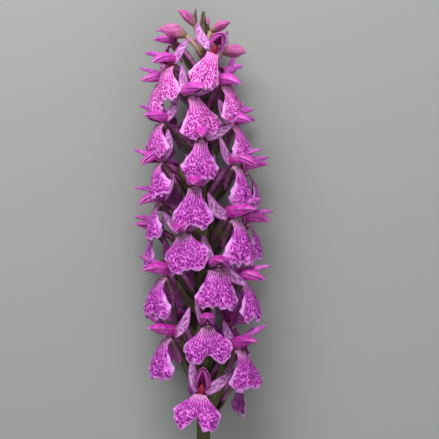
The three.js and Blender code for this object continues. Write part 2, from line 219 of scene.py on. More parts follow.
def to_frame(points):
    """Points of the spike, in millimetres from the middle of its cut end, as metres in the frame."""
    placed = np.array(points, float)
    placed[..., 0] += STEM_X
    placed[..., 1] += CUT_Y
    placed[..., 2] = settle(placed[..., 2] + AXIS_HEIGHT) - SURFACE_Z
    return placed * MM


def turn(axis, degrees):
    """The matrix of a turn about one axis."""
    return np.array(Matrix.Rotation(math.radians(degrees), 3, axis))


def turned(points, *turns):
    """Points turned by each matrix in the order given."""
    for matrix in turns:
        points = points @ matrix.T
    return points


def beside_stem(height, angle, reach):
    """A point at this height, angle round the stem and distance from its axis."""
    radians = math.radians(angle)
    return np.array((reach * math.sin(radians), height, reach * math.cos(radians)))


def stem_radius(along):
    """Radius at a share of the stem's length."""
    return STEM_RADIUS + (STEM_TIP_RADIUS - STEM_RADIUS) * smooth(along, STEM_TAPER_START, 1)


def axil(height, angle, depth):
    """A point inside the stem from which a stalk grows, at a share of the stem's radius."""
    return beside_stem(height, angle, stem_radius(height / STEM_LENGTH) * depth)


# ---------------------------------------------------------------- meshes

EDGE_THINNING = (0.3, 0.8, 1.0)     # share of a petal's thickness at its rim, one step in, further in
NEARLY_PARALLEL = 0.1

# Where a petal's front and back, and a round body, lie in their own square of the bake: size, corner.
FRONT_CELL = ((0.62, 0.96), (0.02, 0.02))
BACK_CELL = ((0.3, 0.96), (0.68, 0.02))
ROUND_CELL = (0.96, 0.02)


class Skin:
    """One closed surface, as points, faces and what each face corner needs for colour and baking."""

    def __init__(self, points, faces, materials, marks, margins, cells):
        self.points = points        # (n, 3) millimetres
        self.faces = faces          # (m, 4) corners
        self.materials = materials  # (m,) material index
        self.marks = marks          # (n, 2) millimetres across and along the organ
        self.margins = margins      # (n,) millimetres from the organ's edge
        self.cells = cells          # (m, 4, 2) place of each corner in the skin's own square

    def moved(self, place):
        """This skin, once its points have been put through place."""
        self.points = place(self.points)
        return self


def grid_faces(rows, columns, start=0):
    """Quads of a grid of points stored row by row."""
    i, j = np.meshgrid(np.arange(rows - 1), np.arange(columns - 1), indexing="ij")
    a = start + i * columns + j
    return np.stack([a, a + 1, a + columns + 1, a + columns], axis=-1).reshape(-1, 4)


def grid_normals(middle):
    """Unit normals of a grid of points."""
    along = np.gradient(middle, axis=0)
    across = np.gradient(middle, axis=1)
    normal = np.cross(across, along)
    return normal / np.maximum(np.linalg.norm(normal, axis=-1, keepdims=True), 1e-9)


def blade(places, across, along, margin, thickness, front=0, back=1):
    """A petal: a thin closed skin round a grid of middle points, thinner at its edge.

    Rows run along the petal and columns across it, and its front looks along (across x along).
    The places are x, y and z, and what doesn't change along a row or column may be given once."""
    rows, columns = margin.shape
    middle = np.stack([np.broadcast_to(part, margin.shape) for part in places], axis=-1)
    marks = np.stack([np.broadcast_to(part, margin.shape) for part in (across, along)], axis=-1)
    i, j = np.meshgrid(np.arange(rows), np.arange(columns), indexing="ij")
    steps = np.minimum(np.minimum(i, rows - 1 - i), np.minimum(j, columns - 1 - j))
    share = np.array(EDGE_THINNING)[np.minimum(steps, 2)][..., None]
    offset = grid_normals(middle) * share * thickness / 2
    count = rows * columns
    points = np.concatenate([(middle + offset).reshape(-1, 3), (middle - offset).reshape(-1, 3)])
    front_faces = grid_faces(rows, columns)
    back_faces = grid_faces(rows, columns, count)[:, ::-1]
    ids = np.arange(count).reshape(rows, columns)
    ring = np.concatenate([ids[0, :-1], ids[:-1, -1], ids[-1, :0:-1], ids[:0:-1, 0]])
    after = np.roll(ring, -1)
    rim_faces = np.stack([after, ring, ring + count, after + count], axis=-1)
    faces = np.concatenate([front_faces, back_faces, rim_faces])
    materials = np.concatenate([
        np.full(len(front_faces), front),
        np.full(len(back_faces), back),
        np.full(len(rim_faces), front),
    ])
    flat = np.stack([j / (columns - 1), i / (rows - 1)], axis=-1).reshape(-1, 2)
    front_cells = flat * FRONT_CELL[0] + FRONT_CELL[1]
    back_cells = flat * BACK_CELL[0] + BACK_CELL[1]
    cells = np.concatenate([
        front_cells[front_faces],
        back_cells[back_faces - count],
        front_cells[rim_faces % count],
    ])
    marks = np.tile(marks.reshape(-1, 2), (2, 1))
    margins = np.tile(margin.reshape(-1), 2)
    return Skin(points, faces, materials, marks, margins, cells)


def round_skin(centres, radii, sides, material=0, ribs=0, rib_depth=0.0, rib_twist=0.0, flatten=1.0):
    """A closed round body along a line of centres, with closed ends and, where asked, ribs."""
    rings = len(centres)
    tangents = np.gradient(centres, axis=0)
    tangents /= np.linalg.norm(tangents, axis=1, keepdims=True)
    side = np.cross(tangents[0], (0.0, 1.0, 0.0))
    if np.linalg.norm(side) < NEARLY_PARALLEL:
        side = np.array((1.0, 0.0, 0.0))
    angles = np.linspace(0, 2 * math.pi, sides, endpoint=False)
    points = []
    for k in range(rings):
        side = side - tangents[k] * np.dot(side, tangents[k])
        side /= np.linalg.norm(side)
        other = np.cross(tangents[k], side)
        swell = 1 + rib_depth * np.cos(ribs * angles + rib_twist * k / (rings - 1))
        ring = radii[k] * swell[:, None] * (
            np.cos(angles)[:, None] * side + flatten * np.sin(angles)[:, None] * other)
        points.append(centres[k] + ring)
    points = np.concatenate(points)
    faces = []
    cells = []
    for k in range(rings - 1):
        for s in range(sides):
            t = (s + 1) % sides
            faces.append((k * sides + s, k * sides + t, (k + 1) * sides + t, (k + 1) * sides + s))
            left, right = s / sides, (s + 1) / sides
            low, high = k / (rings - 1), (k + 1) / (rings - 1)
            cells.append(((left, low), (right, low), (right, high), (left, high)))
    first, last = len(points), len(points) + 1
    points = np.concatenate([points, [centres[0], centres[-1]]])
    for s in range(sides):
        t = (s + 1) % sides
        faces.append((first, t, s, s))
        cells.append(((s / sides, 0), (t / sides, 0), (s / sides, 0), (s / sides, 0)))
        end = (rings - 1) * sides
        faces.append((last, end + s, end + t, end + t))
        cells.append(((s / sides, 1), (s / sides, 1), (t / sides, 1), (t / sides, 1)))
    length = np.concatenate([[0], np.cumsum(np.linalg.norm(np.diff(centres, axis=0), axis=1))])
    marks = np.stack([np.tile(angles, rings), np.repeat(length, sides)], axis=-1)
    marks = np.concatenate([marks, [(0, 0), (0, length[-1])]])
    cells = np.array(cells) * ROUND_CELL[0] + ROUND_CELL[1]
    margins = np.ones(len(points))
    return Skin(points, np.array(faces), np.full(len(faces), material), marks, margins, cells)


def add_attribute(mesh, name, kind, key, values):
    """Store a value or a vector for each point of the mesh."""
    attribute = mesh.attributes.new(name, kind, "POINT")
    attribute.data.foreach_set(key, np.asarray(values).astype(np.float32).ravel())


def make_mesh(name, skins, seed):
    """One mesh of all the skins, with a square of its bake for each of them."""
    grid = math.ceil(math.sqrt(len(skins)))
    squares = [np.array((number % grid, number // grid)) for number in range(len(skins))]
    starts = np.cumsum([0] + [len(skin.points) for skin in skins])
    points = np.concatenate([skin.points for skin in skins])
    faces = np.concatenate([skin.faces + start for skin, start in zip(skins, starts)])
    cells = np.concatenate([(skin.cells + square) / grid for skin, square in zip(skins, squares)])
    marks = np.concatenate([skin.marks for skin in skins])
    margins = np.concatenate([skin.margins for skin in skins])
    indices = np.concatenate([skin.materials for skin in skins])
    triangle = faces[:, 2] == faces[:, 3]
    corners = np.ones((len(faces), 4), bool)
    corners[triangle, 3] = False
    face_list = [face[:3] if three else face for face, three in zip(faces.tolist(), triangle)]
    mesh = bpy.data.meshes.new(name)
    mesh.from_pydata(to_frame(points).tolist(), [], face_list)
    bake = mesh.uv_layers.new(name="OFBake")
    bake.data.foreach_set("uv", cells[corners].astype(np.float32).ravel())
    seeds = np.full(len(marks), seed)
    add_attribute(mesh, "mark", "FLOAT_VECTOR", "vector", np.column_stack([marks, seeds]))
    add_attribute(mesh, "height", "FLOAT", "value", points[:, 1])
    add_attribute(mesh, "margin", "FLOAT", "value", margins)
    mesh.polygons.foreach_set("material_index", indices.astype(np.int32))
    mesh.polygons.foreach_set("use_smooth", np.ones(len(mesh.polygons), bool))
    return mesh


def make_piece(name, skins, materials, node=None, seed=0.0):
    """A Blender object from skins in the spike's millimetres, riding on the frame."""
    mesh = make_mesh(name, skins, seed)
    for key in materials:
        mesh.materials.append(MATERIALS[key])
    mesh.update()
    piece = bpy.data.objects.new(name, mesh)
    bpy.context.scene.collection.objects.link(piece)
    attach(piece, "root")
    if node:
        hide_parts(node)


# ---------------------------------------------------------------- materials

# Heights on the stem between which the flowers turn from dark and old to light and young: the lightening
# is partly painted light from above, partly the pinker tone of the young flowers.
YOUTH_AND_LIGHT_START_HEIGHT = 80.0
YOUTH_AND_LIGHT_FULL_HEIGHT = 112.0

# A lip's lines spread from a point behind its throat, and distances on it are measured from there.
LINES_MEET_BEHIND = 2.4
LINES_PER_RADIAN = 17.0
DASHES_PER_MM = 1.3
PATTERN_WARP = 1.9
LINES_END = (6.5, 9.0)
DASHES_START = (5.0, 7.0)
PALE_MOUTH = (2.6, 5.5)

SCATTER_COLOURS = (1.0, 0.4, 0.8)
SCATTER_DEPTH = 0.6


class Nodes:
    """A short way to write a node tree: each call adds one node and gives its output."""

    def __init__(self, name):
        self.material = bpy.data.materials.new(name)
        self.material.use_nodes = True
        self.tree = self.material.node_tree
        self.shader = self.tree.nodes["Principled BSDF"]
        self.mark = self.attribute("mark", "Vector")

    def link(self, socket, value):
        """Connect another node's output to a socket, or set the socket to a value."""
        if isinstance(value, bpy.types.NodeSocket):
            self.tree.links.new(value, socket)
        else:
            socket.default_value = value

    def attribute(self, name, output):
        """One of the values that the mesh stores for each point."""
        node = self.tree.nodes.new("ShaderNodeAttribute")
        node.attribute_name = name
        return node.outputs[output]

    def margin(self):
        """Distance from the organ's edge, in millimetres."""
        return self.attribute("margin", "Fac")

    def youth_and_top_light(self):
        """0 at the old flowers and 1 at the young ones near the tip: a measure of youth and of painted
        light from above.
        """
        return self.remap(self.attribute("height", "Fac"), YOUTH_AND_LIGHT_START_HEIGHT, YOUTH_AND_LIGHT_FULL_HEIGHT)

    def split(self, vector):
        """The three parts of a vector."""
        node = self.tree.nodes.new("ShaderNodeSeparateXYZ")
        self.link(node.inputs[0], vector)
        return node.outputs

    def vector(self, x, y, z):
        """A vector from its three parts."""
        node = self.tree.nodes.new("ShaderNodeCombineXYZ")
        for socket, value in zip(node.inputs, (x, y, z)):
            self.link(socket, value)
        return node.outputs[0]

    def math(self, operation, *values):
        """One step of arithmetic."""
        node = self.tree.nodes.new("ShaderNodeMath")
        node.operation = operation
        for socket, value in zip(node.inputs, values):
            self.link(socket, value)
        return node.outputs[0]

    def plus(self, a, b):
        return self.math("ADD", a, b)

    def times(self, a, b):
        return self.math("MULTIPLY", a, b)

    def noise(self, vector, scale, detail=2.0):
        """Soft noise from 0 to 1."""
        node = self.tree.nodes.new("ShaderNodeTexNoise")
        self.link(node.inputs["Vector"], vector)
        node.inputs["Scale"].default_value = scale
        node.inputs["Detail"].default_value = detail
        return node.outputs["Fac"]

    def streaks(self, across_scale, along_scale, scale=1.0, detail=2.0):
        """Noise drawn out along the organ."""
        across, along, seed = self.split(self.mark)
        place = self.vector(self.times(across, across_scale), self.times(along, along_scale), seed)
        return self.noise(place, scale, detail)

    def cells(self, vector, scale, randomness, feature="F1"):
        """Distance to the nearest of many scattered points, or to the nearest edge between them."""
        node = self.tree.nodes.new("ShaderNodeTexVoronoi")
        node.voronoi_dimensions = "2D"
        node.feature = feature
        self.link(node.inputs["Vector"], vector)
        node.inputs["Scale"].default_value = scale
        node.inputs["Randomness"].default_value = randomness
        return node.outputs["Distance"]

    def remap(self, value, low, high, to_low=0.0, to_high=1.0):
        """to_low where the value is under low, to_high where it is over high, a curve between."""
        node = self.tree.nodes.new("ShaderNodeMapRange")
        node.interpolation_type = "SMOOTHSTEP"
        for socket, number in zip(node.inputs, (value, low, high, to_low, to_high)):
            self.link(socket, number)
        return node.outputs[0]

    def under(self, value, low, high, strength=1.0):
        """The strength where the value is under low, and nothing where it is over high."""
        return self.remap(value, low, high, strength, 0.0)

    def mix(self, factor, a, b):
        """Colour a where the factor is 0, and colour b where it is 1."""
        node = self.tree.nodes.new("ShaderNodeMix")
        node.data_type = "RGBA"
        self.link(node.inputs[0], factor)
        self.link(node.inputs[6], a)
        self.link(node.inputs[7], b)
        return node.outputs[2]

    def blend(self, value, low, high, first, second):
        """The first colour where the value is under low, and the second where it is over high."""
        return self.mix(self.remap(value, low, high), colour(first), colour(second))

    def bump(self, height, distance, strength=1.0):
        """Fine relief, its distance in millimetres."""
        node = self.tree.nodes.new("ShaderNodeBump")
        node.inputs["Strength"].default_value = strength
        node.inputs["Distance"].default_value = distance * MM
        self.link(node.inputs["Height"], height)
        self.link(self.shader.inputs["Normal"], node.outputs[0])

    def finish(self, base, roughness, sheen=0.0, through=0.0, specular=0.4):
        """Set the shader's colour and its constant values."""
        self.link(self.shader.inputs["Base Color"], base)
        self.link(self.shader.inputs["Roughness"], roughness)
        self.shader.inputs["Specular IOR Level"].default_value = specular
        self.shader.inputs["Sheen Weight"].default_value = sheen
        self.shader.inputs["Subsurface Weight"].default_value = through
        self.shader.inputs["Subsurface Radius"].default_value = SCATTER_COLOURS
        self.shader.inputs["Subsurface Scale"].default_value = SCATTER_DEPTH * MM
        return self.material


def lip_marks(n, radius, angle, seed):
    """Lines at the throat that break into dashes further out, and loops that join the dashes."""
    warp = n.times(n.noise(n.mark, 0.6, 1.0), PATTERN_WARP)
    line = n.plus(n.times(angle, LINES_PER_RADIAN), warp)
    run = n.plus(n.times(radius, DASHES_PER_MM), warp)
    place = n.vector(n.plus(line, seed), n.math("SUBTRACT", run, seed), 0.0)
    between_lines = n.math("ABSOLUTE", n.math("SINE", n.times(line, math.pi / 2)))
    lines = n.times(n.under(between_lines, 0.35, 0.65), n.under(radius, *LINES_END))
    dashes = n.times(n.under(n.cells(place, 1.0, 0.75), 0.33, 0.45), n.remap(radius, *DASHES_START, 0.25))
    loops = n.under(n.cells(place, 0.6, 1.0, "DISTANCE_TO_EDGE"), 0.05, 0.13)
    some_loops = n.times(loops, n.remap(n.noise(place, 0.7, 1.0), 0.49, 0.55))
    return n.math("MAXIMUM", n.math("MAXIMUM", dashes, lines), some_loops)


def lip_material():
    """Pale lilac-pink with magenta lines, dashes and loops, a pale mouth and a pale edge, lighter towards
    the tip with painted light from above and the young flowers' pinker tone.
    """
    n = Nodes("lip_front")
    across, along, seed = n.split(n.mark)
    margin = n.margin()
    youth_and_top_light = n.youth_and_top_light()
    ahead = n.plus(along, LINES_MEET_BEHIND)
    radius = n.math("SQRT", n.plus(n.math("POWER", across, 2.0), n.math("POWER", ahead, 2.0)))
    marks = lip_marks(n, radius, n.math("ARCTAN2", across, ahead), seed)
    mottle = n.noise(n.mark, 1.1, 3.0)
    ground = n.blend(mottle, 0.35, 0.68, "BC4ABA", "DC7AD6")
    ground = n.mix(n.under(radius, *PALE_MOUTH, 0.8), ground, colour("F0BFDC"))
    ground = n.mix(n.under(margin, 0.1, 1.1, 0.75), ground, colour("DC9CE2"))
    # Painted light from above, with the pinker tone of the young flowers: the ground turns lighter
    # towards the tip of the spike.
    ground = n.mix(n.times(youth_and_top_light, 0.6), ground, colour("F8A2E2"))
    dark = n.blend(mottle, 0.32, 0.62, "660066", "980A90")
    # Painted light from above, with the pinker tone of the young flowers: the marks turn lighter towards
    # the tip of the spike.
    dark = n.mix(n.times(youth_and_top_light, 0.6), dark, colour("BC1296"))
    base = n.mix(n.times(marks, n.remap(margin, 0.3, 0.95, 0.12)), ground, dark)
    velvet = n.noise(n.mark, 9.0)
    n.bump(n.plus(velvet, n.times(marks, -0.6)), 0.12, 0.6)
    return n.finish(base, n.remap(velvet, 0.3, 0.7, 0.42, 0.62), through=0.08, specular=0.25)


def back_material():
    """Dull purple back of a lip or sepal, with faint veins."""
    n = Nodes("petal_back")
    veins = n.streaks(3.0, 0.5)
    mottle = n.noise(n.mark, 1.1, 3.0)
    base = n.blend(mottle, 0.3, 0.7, "A63CA0", "C464BE")
    base = n.mix(n.remap(veins, 0.52, 0.66, 0.0, 0.6), base, colour("7A1A78"))
    n.bump(veins, 0.1, 0.6)
    return n.finish(base, n.remap(mottle, 0.3, 0.7, 0.45, 0.6), sheen=0.1, through=0.12)


def hood_material():
    """Saturated magenta with fine long veins, paler at the edges and redder at the foot, lighter towards
    the tip with painted light from above and the young flowers' pinker tone.
    """
    n = Nodes("hood")
    veins = n.streaks(4.0, 0.45)
    along = n.split(n.mark)[1]
    base = n.blend(n.noise(n.mark, 0.9, 3.0), 0.35, 0.65, "9A1286", "C03CAA")
    base = n.mix(n.remap(veins, 0.5, 0.66, 0.0, 0.4), base, colour("8A0A80"))
    # Painted light from above, with the pinker tone of the young flowers: the hood turns lighter towards
    # the tip of the spike.
    base = n.mix(n.times(n.youth_and_top_light(), 0.5), base, colour("CC4CBE"))
    base = n.mix(n.under(n.margin(), 0.0, 0.4, 0.35), base, colour("D284CE"))
    base = n.mix(n.under(along, 0.5, 3.2, 0.6), base, colour("AC0E78"))
    n.bump(veins, 0.12, 0.6)
    return n.finish(base, n.remap(veins, 0.3, 0.7, 0.34, 0.5), sheen=0.03, through=0.1, specular=0.45)


def sepal_material():
    """Pale lilac inside of a lateral sepal, with dark purple spots and a dark edge."""
    n = Nodes("sepal_front")
    across, along, seed = n.split(n.mark)
    margin = n.margin()
    spots = n.cells(n.vector(across, n.times(along, 0.6), seed), 1.5, 0.8)
    drawn = n.times(n.under(spots, 0.26, 0.38), n.remap(margin, 0.15, 0.5))
    mottle = n.streaks(2.6, 0.5, 0.9, 3.0)
    base = n.blend(mottle, 0.35, 0.65, "B062AC", "D79BD2")
    base = n.mix(n.under(margin, 0.0, 0.4, 0.8), base, colour("8E2C8E"))
    base = n.mix(n.times(drawn, 0.75), base, colour("6A1672"))
    n.bump(mottle, 0.1, 0.5)
    return n.finish(base, n.remap(mottle, 0.3, 0.7, 0.42, 0.58), sheen=0.1, through=0.15)


def throat_material(name, rim):
    """Mouth of the spur: crimson inside, with a rim of the given colour."""
    n = Nodes(name)
    along = n.split(n.mark)[1]
    mottle = n.noise(n.mark, 2.0)
    base = n.blend(mottle, 0.35, 0.65, "7E0A34", "B01C50")
    base = n.mix(n.remap(along, 0.4, 1.0), base, colour(rim))
    n.bump(mottle, 0.08, 0.5)
    return n.finish(base, n.remap(mottle, 0.3, 0.7, 0.4, 0.6))


def column_material():
    """Pink column."""
    n = Nodes("column")
    mottle = n.noise(n.mark, 2.0)
    base = n.blend(mottle, 0.35, 0.65, "B23C86", "D078A8")
    n.bump(mottle, 0.08, 0.5)
    return n.finish(base, n.remap(mottle, 0.3, 0.7, 0.35, 0.55), through=0.1)


def stalk_material(name, colours, foot, foot_end, foot_strength):
    """An ovary, spur or bud stalk: two mottled colours, with another one at its foot."""
    n = Nodes(name)
    along = n.split(n.mark)[1]
    mottle = n.noise(n.mark, 0.9, 3.0)
    base = n.blend(mottle, 0.35, 0.65, *colours)
    base = n.mix(n.under(along, *foot_end, foot_strength), base, colour(foot))
    n.bump(mottle, 0.1, 0.5)
    return n.finish(base, n.remap(mottle, 0.3, 0.7, 0.42, 0.6), through=0.1)


def bract_material():
    """Dark green, flushed purple-brown at the edges, with fine long veins."""
    n = Nodes("bract")
    veins = n.streaks(4.5, 0.3)
    flush = n.noise(n.mark, 0.35)
    base = n.blend(veins, 0.4, 0.62, "3C4020", "646A32")
    base = n.mix(n.remap(flush, 0.42, 0.62, 0.0, 0.8), base, colour("46202E"))
    base = n.mix(n.under(n.margin(), 0.0, 0.5, 0.8), base, colour("34101F"))
    n.bump(veins, 0.15, 0.7)
    return n.finish(base, n.remap(veins, 0.3, 0.7, 0.38, 0.55), specular=0.45)


def stem_material():
    """Green, with fine ribs and a purple-brown flush where the flowers stand."""
    n = Nodes("stem")
    along = n.split(n.mark)[1]
    ribs = n.streaks(3.0, 0.05)
    flush = n.streaks(1.0, 0.2, 1.0, 3.0)
    base = n.blend(ribs, 0.38, 0.62, "262C12", "4E5428")
    inside = n.remap(along, 16.0, 34.0)
    base = n.mix(n.times(n.remap(flush, 0.3, 0.6, 0.35), inside), base, colour("4A2430"))
    n.bump(ribs, 0.2, 0.7)
    return n.finish(base, n.remap(flush, 0.3, 0.7, 0.4, 0.6), through=0.05)


def bud_material():
    """Pink-magenta, paler and greener towards the base, with long veins."""
    n = Nodes("bud")
    along = n.split(n.mark)[1]
    veins = n.streaks(2.5, 0.4)
    base = n.blend(veins, 0.4, 0.62, "A23C80", "C86EA8")
    base = n.mix(n.under(along, 0.2, 3.4, 0.9), base, colour("A08C5C"))
    base = n.mix(n.remap(veins, 0.55, 0.7, 0.0, 0.6), base, colour("92307A"))
    n.bump(veins, 0.12, 0.6)
    return n.finish(base, n.remap(veins, 0.3, 0.7, 0.36, 0.52), through=0.12)


MATERIALS = {
    "lip": lip_material(),
    "back": back_material(),
    "hood": hood_material(),
    "sepal": sepal_material(),
    "throat": throat_material("throat", "D592BE"),
    "red_throat": throat_material("red_throat", "8A0A36"),
    "column": column_material(),
    "stalk": stalk_material("stalk", ("7C3068", "A25A94"), "4E3C2A", (1.0, 6.0), 0.75),
    "bract": bract_material(),
    "stem": stem_material(),
    "bud": bud_material(),
    "bud_stalk": stalk_material("bud_stalk", ("B98E8E", "A9A069"), "6E6A38", (0.5, 3.5), 0.7),
}


# ---------------------------------------------------------------- organs, in a flower's own space

LIP_ROWS, LIP_COLUMNS = 36, 41
LIP_LENGTH = 10.2
LIP_HALF_WIDTH = 6.0
LIP_CLAW = 0.28         # width of the lip at the throat, as a share of its widest
LIP_THICKNESS = 0.3
LIP_PITCH = 15
LIP_RISE = 0.5
LIP_REFLEX = 1.9        # how far its sides bend back
LIP_REFLEX_POWER = 2.2
LIP_ARCH = 1.3
LIP_NARROWING = 0.1     # share of its width that it loses from its widest place to its end
NOTCH_WIDTH = 0.2
DEEP_NOTCH_WIDTH = 0.3
TOOTH_WIDTH = 0.09
GROOVE_WIDTH = 0.16
GROOVE_DEPTH = 0.4
SIDE_RIPPLE_HEIGHT = 0.26
SIDE_RIPPLE_RADIANS = 19
SIDE_FRILL_HEIGHT = 0.025
SIDE_FRILL_RADIANS = 21

# Waves across the lip's end: height, radians from its middle to its side, direction of the phase,
# and for the ripples a power that keeps them to the end.
SCALLOPS = ((1.0, 13, 1), (0.5, 29, -1))
END_RIPPLES = ((0.5, 7, 1, 2), (0.36, 17, -1, 4))


def bell(x, width):
    """1 where x is 0, and falling off to both sides."""
    return np.exp(-(x / width) ** 2)


def lip(name, share, chance):
    """A fan that widens from a narrow claw to two rounded lobes with a notch between them."""
    u = np.linspace(-1, 1, LIP_COLUMNS)[None, ::-1]
    v = np.linspace(0, 1, LIP_ROWS)[:, None]
    deep_notch = name in DEEP_NOTCHES
    round_lobes = name in ROUND_LOBES
    notch = DEEP_NOTCHES.get(name, chance.uniform(0.06, 0.16))
    tooth = 0.0 if deep_notch else chance.uniform(0.02, 0.12)
    corner = chance.uniform(0.24, 0.38) if round_lobes else chance.uniform(0.16, 0.28)
    phase = chance.uniform(0, 6)
    reflex = LIP_REFLEX * chance.uniform(0.7, 1.3)
    lean = chance.uniform(-0.12, 0.12)

    claw = WIDE_CLAWS.get(name, LIP_CLAW)
    widening_from, widest_at = (0, 0.56) if round_lobes else (0.04, 0.88)
    half_width = LIP_HALF_WIDTH * (claw + (share - claw) * smooth(v, widening_from, widest_at))
    half_width = half_width * (1 - LIP_NARROWING * smooth(v, widest_at, 1))

    notch_width = DEEP_NOTCH_WIDTH if deep_notch else NOTCH_WIDTH
    corner_power = 4 if deep_notch else 6
    scallop = 0.014 if round_lobes else 0.03
    waves = sum(height * np.sin(radians * u + way * phase) for height, radians, way in SCALLOPS)
    reach = 1 - notch * bell(u, notch_width) + tooth * bell(u, TOOTH_WIDTH)
    reach = reach - corner * u ** corner_power + scallop * waves

    frill = SIDE_FRILL_HEIGHT * np.sin(SIDE_FRILL_RADIANS * v + phase) * smooth(v, 0.35, 0.7)
    x = u * half_width * (1 + frill * np.abs(u))
    y = -LIP_LENGTH * v * (1 - (1 - reach) * v ** 1.4)
    z = LIP_RISE + LIP_ARCH * np.sin(math.pi * np.minimum(v * 0.95, 1))
    z = z - reflex * np.abs(u) ** LIP_REFLEX_POWER * smooth(v, 0.05, 0.7) + lean * x * v
    z = z - GROOVE_DEPTH * bell(u, GROOVE_WIDTH) * smooth(v, 0.5, 1)
    for height, radians, way, power in END_RIPPLES:
        z = z + height * np.sin(radians * u + way * phase) * v ** power
    side_ripple = SIDE_RIPPLE_HEIGHT * np.sin(SIDE_RIPPLE_RADIANS * v + phase)
    z = z + side_ripple * np.abs(u) ** 4 * smooth(v, 0.3, 0.6)

    to_side = (1 - np.abs(u)) * half_width
    margin = np.minimum(to_side + 2 * (1 - smooth(v, 0.1, 0.5)), (1 - v) * LIP_LENGTH)
    skin = blade((x, y, z), x, -y, margin, LIP_THICKNESS)
    return skin.moved(lambda p: turned(p, turn("X", -LIP_PITCH)))


HOOD_ROWS = 16
HOOD_COLUMNS = 17
HOOD_LENGTH = 8.6
HOOD_HALF_DEPTH = 1.65
HOOD_HALF_WIDTH = 2.1
HOOD_TOP = 3.6
HOOD_BACK = -1.8            # where it starts, behind the throat
HOOD_START_SHARE = 0.82     # of its full width
HOOD_SWELL = 0.9
HOOD_TIP_SHARE = 0.02
HOOD_SIDE_ANGLE = 82        # from its top to its side edge
HOOD_FOOT = np.array((0.0, 1.2, -1.6))
HOOD_PETAL_COLUMNS = 9
HOOD_PETAL_ANGLES = (55, 140)
HOOD_PETAL_LENGTH = HOOD_LENGTH * 0.88
HOOD_PETAL_SHARE = 0.9
HOOD_PETAL_INSET = 0.15
HOOD_PETAL_GAPE = 1.6
PETAL_THICKNESS = 0.28


def hood_shell(start, end, columns, length, share, arch, droop, gape):
    """Part of the hood: a beak-shaped shell between two angles round its axis, from its top."""
    v = np.linspace(0, 1, HOOD_ROWS)[:, None]
    angles = np.radians(np.linspace(start, end, columns))[None, :]
    swelling = HOOD_START_SHARE + HOOD_SWELL * v - HOOD_SWELL * v ** 2
    radius = share * swelling * (1.0 - v ** 2.3) ** 0.85 + HOOD_TIP_SHARE
    top = HOOD_TOP + arch * np.sin(math.pi * v) - droop * v ** 2.2
    axis_y = top - radius * HOOD_HALF_DEPTH / share
    x = HOOD_HALF_WIDTH * radius * np.sin(angles) * (1 + gape * np.abs(angles))
    y = axis_y + HOOD_HALF_DEPTH * radius * np.cos(angles)
    z = HOOD_BACK + length * v
    from_middle = np.abs(np.linspace(-1, 1, columns))[None, :]
    to_side = 2 * radius * np.radians((end - start) / 2) * (1 - from_middle)
    margin = np.minimum(to_side, (1 - v) * length)
    return blade((x, y, z), 2 * radius * angles, v * length, margin, PETAL_THICKNESS)


def hood(name, chance):
    """The upper sepal closed over the two petals."""
    arch = chance.uniform(0.3, 1.1)
    droop = HOOD_DROOPS.get(name, chance.uniform(0.4, 2.6))
    gape = OPEN_HOODS.get(name, chance.uniform(0.0, 0.06))
    spread = chance.uniform(0, 10)
    low, high = (angle + spread for angle in HOOD_PETAL_ANGLES)
    petal = (
        HOOD_PETAL_COLUMNS, HOOD_PETAL_LENGTH, HOOD_PETAL_SHARE,
        arch - HOOD_PETAL_INSET, droop, HOOD_PETAL_GAPE * gape)
    shells = [
        hood_shell(-HOOD_SIDE_ANGLE, HOOD_SIDE_ANGLE, HOOD_COLUMNS, HOOD_LENGTH, 1.0, arch, droop, gape),
        hood_shell(low, high, *petal),
        hood_shell(-high, -low, *petal),
    ]
    raising = turn("X", -RAISED_HOODS.get(name, 0))
    return [skin.moved(lambda p: turned(p - HOOD_FOOT, raising) + HOOD_FOOT) for skin in shells]


SEPAL_ROWS, SEPAL_COLUMNS = 16, 9
SEPAL_LENGTH = 8.6
SEPAL_HALF_WIDTH = 1.35
SEPAL_EDGE = 0.05       # half width that it keeps at its tip
SEPAL_HOLLOW = 0.35
SEPAL_BASE = (1.1, 1.0, -0.9)
SEPAL_BASE_RISE = 2.6   # how much higher it starts where it leans fully outwards
OUTWARD_LEANS = (40, 70)    # leans at which it starts to count as outwards, and does so fully
OUTWARD_SHORTENING = 0.12
OUTWARD_NARROWING = 0.3


def lateral_sepal(side, spread, forward, own_turn, chance):
    """A lance-shaped wing beside the hood, hollowed along its front."""
    v = np.linspace(0, 1, SEPAL_ROWS)[:, None]
    u = np.linspace(-1, 1, SEPAL_COLUMNS)[None, :]
    outward = smooth(forward, *OUTWARD_LEANS)
    length = SEPAL_LENGTH * chance.uniform(0.9, 1.05) * (1 - OUTWARD_SHORTENING * outward)
    outline = np.sin(math.pi * (0.16 + 0.82 * v)) ** 0.8
    half_width = SEPAL_HALF_WIDTH * (1 - OUTWARD_NARROWING * outward) * outline + SEPAL_EDGE
    bend = chance.uniform(-1.4, 0.6)
    sway = chance.uniform(-0.2, 1.2) * side
    twist = chance.uniform(-0.6, 0.6) * v
    x = u * half_width
    y = v * length
    z = SEPAL_HOLLOW * u ** 2 + bend * v ** 2
    places = (x * np.cos(twist) + sway * np.sin(math.pi * v), y, z + x * np.sin(twist))
    margin = np.minimum((1 - np.abs(u)) * half_width, (1 - v) * length)
    skin = blade(places, x, y, margin, PETAL_THICKNESS)
    turns = (turn("Y", side * own_turn), turn("Z", -side * spread), turn("X", forward))
    base_x, base_y, base_z = SEPAL_BASE
    base_y += SEPAL_BASE_RISE * math.sin(math.radians(max(forward, 0)))
    return skin.moved(lambda p: turned(p, *turns) + (side * base_x, base_y, base_z))


